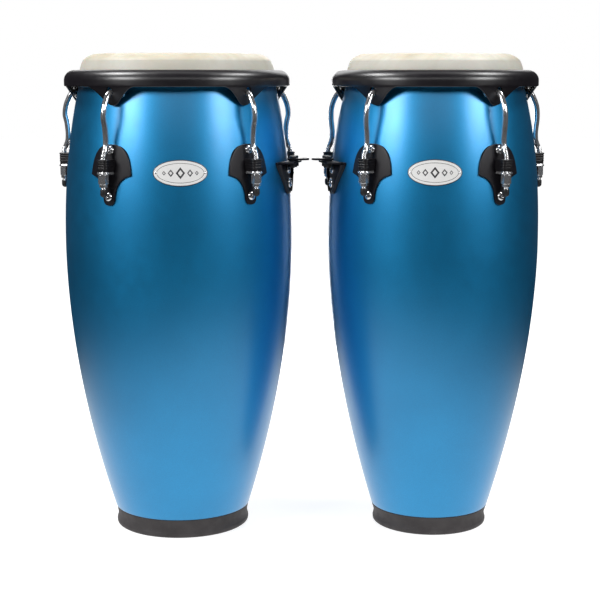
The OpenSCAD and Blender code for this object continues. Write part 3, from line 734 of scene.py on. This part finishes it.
def build_lugs(d):
    n = NAMES[d]
    body = n + "_drum"
    ribs = [(553.0, -0.35), (553.35, 0.0), (556.7, 0.0), (557.0, 0.35), (557.3, 0.5), (558.7, 0.5), (559.0, 0.35), (559.3, 0.0), (560.3, 0.0), (560.6, 0.35), (560.9, 0.5), (562.3, 0.5), (562.6, 0.35), (562.9, 0.0),
            (563.9, 0.0), (564.2, 0.35), (564.5, 0.5), (565.9, 0.5), (566.2, 0.35), (566.5, 0.0), (567.5, 0.0), (567.8, 0.6), (568.1, 0.8), (569.5, 0.8), (569.85, 0.65), (570.0, 0.4)]
    rec = holed_block(d, (8.2, 5.6, 15.7, 4.5), ribs, 4.5)
    piece(n + "_ribbed_receivers", [moved(rec, lambda v, a=a: turned(d, a, v)) for a in LUGS], [M_LUG], body, [n + "_lug_receivers"], 32)
    # thick washer plate with a stepped top
    wash = holed_block(d, (9.4, 7.2, 12.0, 6.9), [(549.5, -0.45), (549.6, -0.18), (549.9, 0.0), (551.2, 0.0), (551.5, -0.15), (551.65, -0.45), (551.75, -0.8), (551.95, -0.95), (552.5, -0.95), (552.75, -1.05), (552.9, -1.3)], 4.5)
    piece(n + "_saddles", [moved(wash, lambda v, a=a: turned(d, a, v)) for a in LUGS], [M_WASHER], body, [n + "_saddle_washers"], 32)
    # side plates
    half_a = catmull([(0, 591), (6, 590.7), (10, 589.8), (18, 587), (25, 580.5), (30, 571), (33, 559), (34.5, 548)], 4)
    half_b = catmull([(34.5, 548), (31, 546.4), (24, 543.6), (17.5, 538.5), (13, 531), (10.5, 523), (9.5, 514), (8.4, 509.5), (5.2, 506), (0, 505)], 4)[1:]
    half = np.concatenate([half_a, half_b])
    loop = np.concatenate([half, [(-x, y) for x, y in half[::-1] if abs(x) > 1e-6]])
    plate = flat_plate([loop], PLATE_T, 0.7, 3)
    piece(n + "_curved_plates", [bent(d, a, 0.05, plate) for a in LUGS], [M_PLATE], body, [n + "_side_plates"], 32)


def screw_local(head_r, head_h, shank_r, shank_l):
    prof = [(0.02, head_h)] + [(head_r * math.sin(math.radians(a)), 0.8 + (head_h - 0.8) * math.cos(math.radians(a))) for a in range(8, 85, 8)]
    prof += [(head_r, 0.8), (head_r, 0.3), (head_r - 0.25, 0.0), (shank_r + 0.1, 0.0), (shank_r, -0.3), (shank_r, -shank_l + 0.7), (shank_r - 0.6, -shank_l), (0.02, -shank_l)]
    head = lathe(prof, 64)
    w, hl = 0.62, head_r * 0.52
    arms = [rbox((-hl, -w, head_h - 1.9), (hl, w, head_h + 2), 0.25), rbox((-w, -hl, head_h - 1.85), (w, hl, head_h + 2), 0.25)]
    return cut(cut(head, [arms[0]]), [arms[1]])


SCREW = screw_local(6.0, 3.6, 3.0, PLATE_T + WALL + 8.2)
BSCREW = screw_local(7.0, 4.0, 4.0, PLATE_T + WALL + 9.0)


def spun(part, deg):
    c, s = math.cos(math.radians(deg)), math.sin(math.radians(deg))
    v = part[0]
    return np.stack([v[:, 0] * c - v[:, 1] * s, v[:, 0] * s + v[:, 1] * c, v[:, 2]], 1), part[1], part[2]


def build_screws(d):
    n = NAMES[d]
    rng = np.random.default_rng(5 + d)
    parts = [moved(spun(SCREW, rng.uniform(0, 90)), lambda v, a=a, z=z: on_shell(d, a, z, PLATE_T + 0.1, v)) for a in LUGS for z in SCREW_Z]
    piece(n + "_dome_screws", parts, [M_SCREW], n + "_drum", [n + "_plate_screws"], 35)
    parts = [moved(spun(BSCREW, rng.uniform(0, 90)), lambda v, z=z: on_shell(d, BRACKET_AZ[d], z, PLATE_T + 0.1, v)) for z in BRACKET_Z]
    piece(n + "_bracket_bolts", parts, [M_SCREW], n + "_drum", [n + "_bracket_screws"], 35)


def oval(a, b, n=120):
    return [(a * math.cos(2 * math.pi * i / n), BADGE_Z + b * math.sin(2 * math.pi * i / n)) for i in range(n)]


def build_badge(d):
    n = NAMES[d]
    a, b = BADGE_L / 2, BADGE_H / 2
    base = flat_plate([oval(a, b)], 1.05, 0.3, 2, (2.5, 0), 0)
    field = flat_plate([oval(a - 1.1, b - 1.1)], 0.5, 0.12, 2, (2.5, 0), 1)
    parts = [bent(d, 0, 0.08, base), bent(d, 0, 0.85, field)]
    # plain ornament: a fine inner oval and a row of lozenges
    line = flat_plate([oval(a - 5.2, b - 4.6), oval(a - 5.8, b - 5.2)], 0.2, 0.04, 1, (2.5, 0), 2)
    parts.append(bent(d, 0, 1.22, line))
    for cx, hw, hh in ((0, 6.5, 8.2), (-13.5, 4.2, 5.2), (13.5, 4.2, 5.2), (-23, 2.6, 3.2), (23, 2.6, 3.2)):
        loz = [(cx + hw, BADGE_Z), (cx, BADGE_Z + hh), (cx - hw, BADGE_Z), (cx, BADGE_Z - hh)]
        ins = [(cx + hw * 0.55, BADGE_Z), (cx, BADGE_Z + hh * 0.55), (cx - hw * 0.55, BADGE_Z), (cx, BADGE_Z - hh * 0.55)]
        parts.append(bent(d, 0, 1.22, flat_plate([loz, ins], 0.22, 0.05, 1, (2.5, 0), 2)))
    piece(n + "_oval_badge", parts, [M_BADGE_EDGE, M_BADGE, M_BADGE_EDGE], n + "_drum", [n + "_badge"], 35)
    pin_az = math.degrees(math.asin((a - 4) / float(shell_r(d, BADGE_Z))))
    pin = lathe([(0.02, 0.9), (0.7, 0.85), (1.3, 0.65), (1.75, 0.35), (1.9, 0.05), (1.85, 0.0), (1.1, 0.0), (1.1, -5.2), (0.02, -5.4)], 32)
    piece(n + "_badge_rivets", [moved(pin, lambda v, s=s: on_shell(d, s * pin_az, BADGE_Z, 1.3, v)) for s in (-1, 1)], [M_SCREW], n + "_drum", [n + "_badge_pins"], 35)


def flat_at(d, az, z, part):
    """A flat part lying level: u across, v outward from the axis, w up from z."""
    v = part[0]
    return turned(d, az, np.stack([v[:, 0], -v[:, 1], v[:, 2] + z], 1)), part[1], part[2]


def build_bracket(d):
    n, az = NAMES[d], BRACKET_AZ[d]
    s = float(shell_r(d, 558))
    sym = lambda h: list(h) + [(-x, y) for x, y in h[::-1] if abs(x) > 1e-6]
    out = [(0, 561.4), (41.1, 561.4), (41.4, 558.3), (37.3, 549.5), (14.0, 518.1), (12.4, 516.2), (10.3, 514.8), (5.5, 513.3), (0, 512.9)]
    parts = [bent(d, az, 0.05, flat_plate([sym(out)], PLATE_T, 0.6, 3, (2.5, 8)))]
    # folded V along the two slanting edges, deepest under the shelf
    for sg in (-1, 1):
        strip = [(41.1, 558.1), (37.1, 549.5), (13.7, 518.1), (11.8, 515.9), (9.3, 517.7), (11.0, 520.4), (33.4, 550.8), (37.0, 558.1)]
        v, f, m = flat_plate([[(sg * x, y) for x, y in strip][::sg]], 5.6, 0.7, 2, (0, 5))
        v = v.copy()
        v[:, 2] = v[:, 2] * np.clip(0.45 + 0.55 * (v[:, 1] - 515) / 42, 0.4, 1.0) - 0.2
        parts.append(bent(d, az, PLATE_T - 0.4, (v, f, m)))
    inner = [((s + 1.6) * math.sin(t), (s + 1.6) * math.cos(t)) for t in np.linspace(-0.235, 0.235, 25)]
    outer = catmull([(39.4, s - 1.3), (37.3, s + 4.0), (32, s + 9.5), (28.0, s + 14.5), (25.0, s + 18.3), (21.5, s + 20)], 4)
    loop = inner + [tuple(q) for q in outer] + [(-x, y) for x, y in outer[::-1]]
    holes = [[(u + 3.2 * math.cos(t), s + 13 + 3.2 * math.sin(t)) for t in np.linspace(0, 2 * math.pi, 24, endpoint=False)] for u in (-8, 8)]
    parts.append(flat_at(d, az, SHELF_Z, flat_plate([loop] + holes, 3.0, 0.5, 2, (0, 0))))
    piece(n + "_v_bracket", parts, [M_PLATE], n + "_drum", [n + "_stand_bracket"], 32)
    # tongue with its round end and one hole
    w, c = 14.0, s + TONGUE_OUT - 14.0
    end = [(w * math.cos(math.radians(q)), c + w * math.sin(math.radians(q))) for q in range(0, 181, 6)]
    loop = end + [(-w, s + 7), (-w + 1, s + 6), (w - 1, s + 6), (w, s + 7)]
    holes = [[(u + r * math.cos(t), s + q + r * math.sin(t)) for t in np.linspace(0, 2 * math.pi, 32, endpoint=False)] for u, q, r in ((-8, 13, 3.2), (8, 13, 3.2), (0, TONGUE_OUT - 9.5, 4.25))]
    piece(n + "_clip_tongue", [flat_at(d, az, TONGUE_Z, flat_plate([loop] + holes, 3.0, 0.5, 3, (0, 0)))], [M_PLATE], n + "_drum", [n + "_stand_tongue"], 32)
    sp = lathe([(3.25, SHELF_Z + 3.02), (5.6, SHELF_Z + 3.02), (6.0, SHELF_Z + 3.4), (6.0, TONGUE_Z - 0.4), (5.6, TONGUE_Z - 0.02), (3.25, TONGUE_Z - 0.02)], 40)
    put = lambda p, u: (turned(d, az, p[0] + np.array([u, -(s + 13), 0])), p[1], p[2])
    piece(n + "_rubber_spacers", [put(sp, u) for u in (-8, 8)], [M_CAP], n + "_drum", [n + "_tongue_spacers"], 35)
    # socket-head bolts with hexagon nuts below the shelf
    nn = 48
    th = np.arange(nn) * 2 * math.pi / nn
    hx = lambda fl: fl / np.cos((th + math.pi / 6) % (math.pi / 3) - math.pi / 6)
    lp = []
    ring = lambda r, z: lp.append(np.stack([r * np.cos(th), r * np.sin(th), np.full(nn, float(z))], 1))
    T = TONGUE_Z + 3.02
    one = np.ones(nn)
    for r, z in ((0.02, SHELF_Z - 7), (2.5, SHELF_Z - 7), (3.0, SHELF_Z - 6.5), (3.0, T), (4.8, T), (5.0, T + 0.2), (5.0, T + 2.8), (4.9, T + 3.1), (4.6, T + 3.2)):
        ring(one * r, z)
    ring(hx(2.15), T + 3.2)
    ring(hx(2.0), T + 3.0)
    ring(hx(2.0), T + 1.4)
    ring(one * 0.02, T + 1.1)
    bolt = loft(lp, True)
    lp = []
    for r, z in ((hx(5.0), SHELF_Z - 5.1), (hx(5.0), SHELF_Z - 0.1)):
        pass
    for fl, cap_r, z in ((3.02, 99, SHELF_Z - 4.8), (3.4, 99, SHELF_Z - 5.1), (5.0, 5.0, SHELF_Z - 5.1), (5.0, 5.5, SHELF_Z - 4.7), (5.0, 5.78, SHELF_Z - 4.2), (5.0, 5.78, SHELF_Z - 1.0), (5.0, 5.5, SHELF_Z - 0.5), (5.0, 5.0, SHELF_Z - 0.1), (3.4, 99, SHELF_Z - 0.1), (3.02, 99, SHELF_Z - 0.4)):
        ring(np.minimum(hx(fl), cap_r) if cap_r < 99 else one * fl, z)
    nut = loft(lp, True)
    piece(n + "_tongue_screws", [put(p, u) for u in (-8, 8) for p in (bolt, nut)], [M_BOLT], n + "_drum", [n + "_tongue_bolts"], 32)


for d in (0, 1):
    build_shell(d)
    build_foot(d)
    build_head(d)
    build_rim(d)
    build_hooks(d)
    build_nuts(d)
    build_lugs(d)
    build_screws(d)
    build_badge(d)
    build_bracket(d)

# CAD nodes that stay as they are: hoops inside the heads, washers and nuts inside the shells
for nm in NAMES:
    for k in ("flesh_hoop", "inner_washers", "inner_nuts"):
        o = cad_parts["%s_%s" % (nm, k)]
        o.data.materials.clear()
        o.data.materials.append(M_ZINC)

# ------------------------------------------------------------------ stage and light


BOUNCE = (0.42, 1.40, 1.10)  # full to this radius, none past that one, strength


def stage_mat(name, glow, diffuse):
    m = bpy.data.materials.new(name)
    m.use_nodes = True
    t = m.node_tree
    t.nodes.clear()
    out = t.nodes.new("ShaderNodeOutputMaterial")
    em = t.nodes.new("ShaderNodeEmission")
    em.inputs["Color"].default_value = (1, 1, 1, 1)
    em.inputs["Strength"].default_value = glow
    df = t.nodes.new("ShaderNodeBsdfDiffuse")
    df.inputs["Color"].default_value = (diffuse, diffuse, diffuse, 1)
    add = t.nodes.new("ShaderNodeAddShader")
    t.links.new(em.outputs[0], add.inputs[0])
    t.links.new(df.outputs[0], add.inputs[1])
    t.links.new(add.outputs[0], out.inputs[0])
    return m


bm = bmesh.new()
bmesh.ops.create_circle(bm, cap_ends=True, radius=14, segments=96)
me = bpy.data.meshes.new("floor")
bm.to_mesh(me)
bm.free()
fm = stage_mat("floor_white", 1.0, 0.45)
ft = fm.node_tree
co = ft.nodes.new("ShaderNodeTexCoord")
ln = ft.nodes.new("ShaderNodeVectorMath")
ln.operation = "LENGTH"
ft.links.new(co.outputs["Object"], ln.inputs[0])
mr = ft.nodes.new("ShaderNodeMapRange")
for i, q in ((1, 0.35), (2, 1.2), (3, 0.80), (4, 1.0)):
    mr.inputs[i].default_value = q
ft.links.new(ln.outputs["Value"], mr.inputs[0])
ft.links.new(mr.outputs[0], [x for x in ft.nodes if x.type == "EMISSION"][0].inputs["Strength"])
me.materials.append(fm)
floor = bpy.data.objects.new("floor", me)
floor.location.z = -0.0004
scene.collection.objects.link(floor)
floor.visible_diffuse = floor.visible_glossy = floor.visible_transmission = False

# the lit patch of floor that the drums reflect: bright near them and falling off, unseen by the camera
bm = bmesh.new()
bmesh.ops.create_circle(bm, cap_ends=True, radius=3.0, segments=64)
me = bpy.data.meshes.new("bounce")
bm.to_mesh(me)
bm.free()
fm = stage_mat("bounce_white", 1.0, 0.0)
ft = fm.node_tree
co = ft.nodes.new("ShaderNodeTexCoord")
ln = ft.nodes.new("ShaderNodeVectorMath")
ln.operation = "LENGTH"
ft.links.new(co.outputs["Object"], ln.inputs[0])
mr = ft.nodes.new("ShaderNodeMapRange")
mr.interpolation_type = "SMOOTHSTEP"
for i, q in ((1, BOUNCE[0]), (2, BOUNCE[1]), (3, BOUNCE[2]), (4, 0.0)):
    mr.inputs[i].default_value = q
ft.links.new(ln.outputs["Value"], mr.inputs[0])
ft.links.new(mr.outputs[0], [x for x in ft.nodes if x.type == "EMISSION"][0].inputs["Strength"])
me.materials.append(fm)
bounce = bpy.data.objects.new("bounce", me)
bounce.location.z = -0.001
scene.collection.objects.link(bounce)
bounce.visible_camera = False

# a white dome that only the camera sees, so that the background stays plain from any side
bm = bmesh.new()
bmesh.ops.create_uvsphere(bm, u_segments=64, v_segments=32, radius=20)
me = bpy.data.meshes.new("dome")
bm.to_mesh(me)
bm.free()
me.materials.append(stage_mat("dome_white", 1.0, 0.0))
dome = bpy.data.objects.new("dome", me)
scene.collection.objects.link(dome)
dome.visible_diffuse = dome.visible_glossy = dome.visible_transmission = dome.visible_shadow = dome.visible_volume_scatter = False

world = bpy.data.worlds.new("studio")
scene.world = world
world.use_nodes = True
bg = world.node_tree.nodes["Background"]
bg.inputs["Color"].default_value = (0.80, 0.80, 0.90, 1)
bg.inputs["Strength"].default_value = 0.03


def area(name, loc, target, size, size_y, power, color=(1, 1, 1), spread=180):
    L = bpy.data.lights.new(name, "AREA")
    L.shape = "RECTANGLE"
    L.size, L.size_y, L.energy, L.color = size, size_y, power, color
    L.spread = math.radians(spread)
    o = bpy.data.objects.new(name, L)
    o.location = loc
    o.rotation_mode = "QUATERNION"
    o.rotation_quaternion = (Vector(target) - Vector(loc)).to_track_quat("-Z", "Y")
    scene.collection.objects.link(o)
    return o


area("soft_left", (-2.3, -1.75, 1.75), (0, 0, 0.5), 1.3, 0.9, 54)
area("soft_right", (2.3, -1.75, 1.75), (0, 0, 0.5), 1.3, 0.9, 43)
area("high_left", (-2.05, 0.30, 3.60), (-0.1, 0, 0.7), 1.2, 0.9, 78)
area("high_right", (2.05, 0.30, 3.60), (0.1, 0, 0.7), 1.2, 0.9, 54)
area("soft_front", (0, -2.7, 1.9), (0, 0, 0.5), 2.6, 0.6, 8)
area("soft_top", (0, 0.2, 2.7), (0, 0, 0.5), 2.4, 1.2, 6)
area("soft_back", (0, 2.6, 1.9), (0, 0, 0.4), 2.4, 1.2, 20)
gap = area("gap_glow", (0.006, 1.45, 0.42), (0.006, 0, 0.38), 0.50, 0.95, 9)
gap.visible_camera = False
